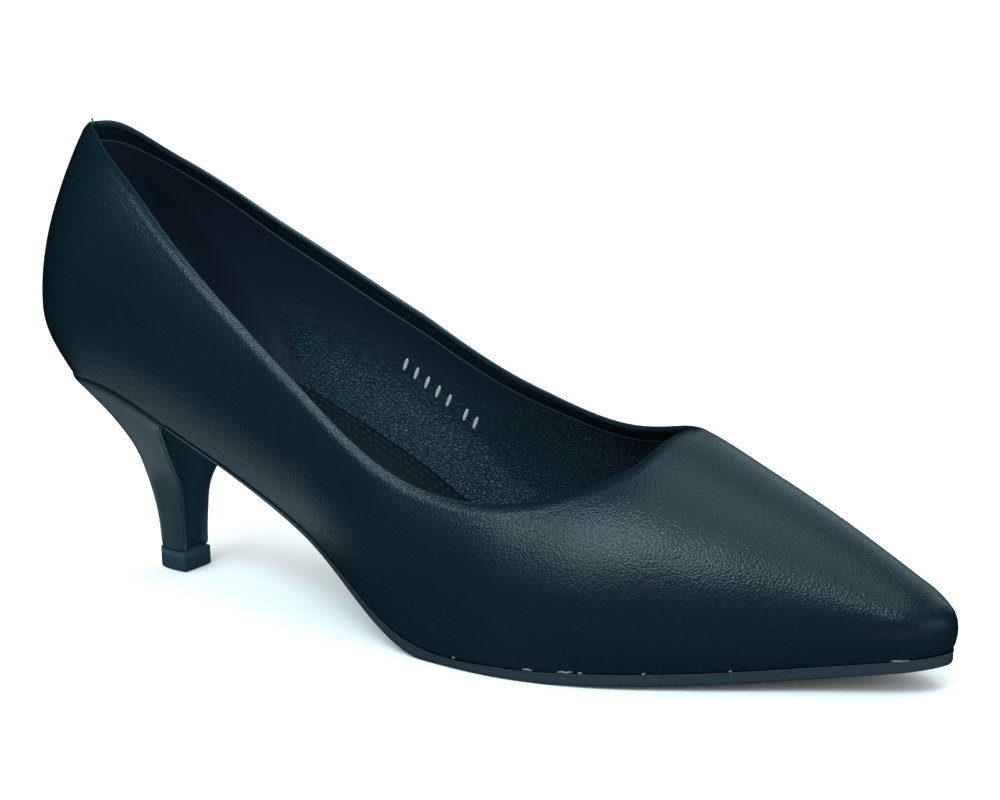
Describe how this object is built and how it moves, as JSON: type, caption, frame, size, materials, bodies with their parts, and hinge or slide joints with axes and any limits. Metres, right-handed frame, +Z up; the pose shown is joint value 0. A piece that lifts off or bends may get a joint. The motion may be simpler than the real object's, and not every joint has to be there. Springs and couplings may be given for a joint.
{
  "type": "pointed court shoe",
  "caption": "Pointed court shoe for the right foot with a plain leather upper, low cut collar, thin outsole and a low tapered heel.",
  "frame": {"origin": "on the floor, under the middle of the shoe's box", "axes": "+X from the heel to the toe, +Y to the wearer's left (the inner side), +Z up from the floor"},
  "size_m": [0.256, 0.0774, 0.1177],
  "materials": {
    "upper_leather": "smooth black leather with a satin sheen",
    "sock_lining": "smooth black sock lining, dull",
    "outsole_edge": "black moulded unit sole, dull",
    "heel_cover": "smooth black leather over a moulded heel block",
    "top_piece_rubber": "black wearing pad, dull"
  },
  "bodies": {
    "root": {"upper": "upper_leather", "insole": "sock_lining", "outsole": "outsole_edge", "heel": "heel_cover", "top_piece": "top_piece_rubber"}
  },
  "joints": []
}
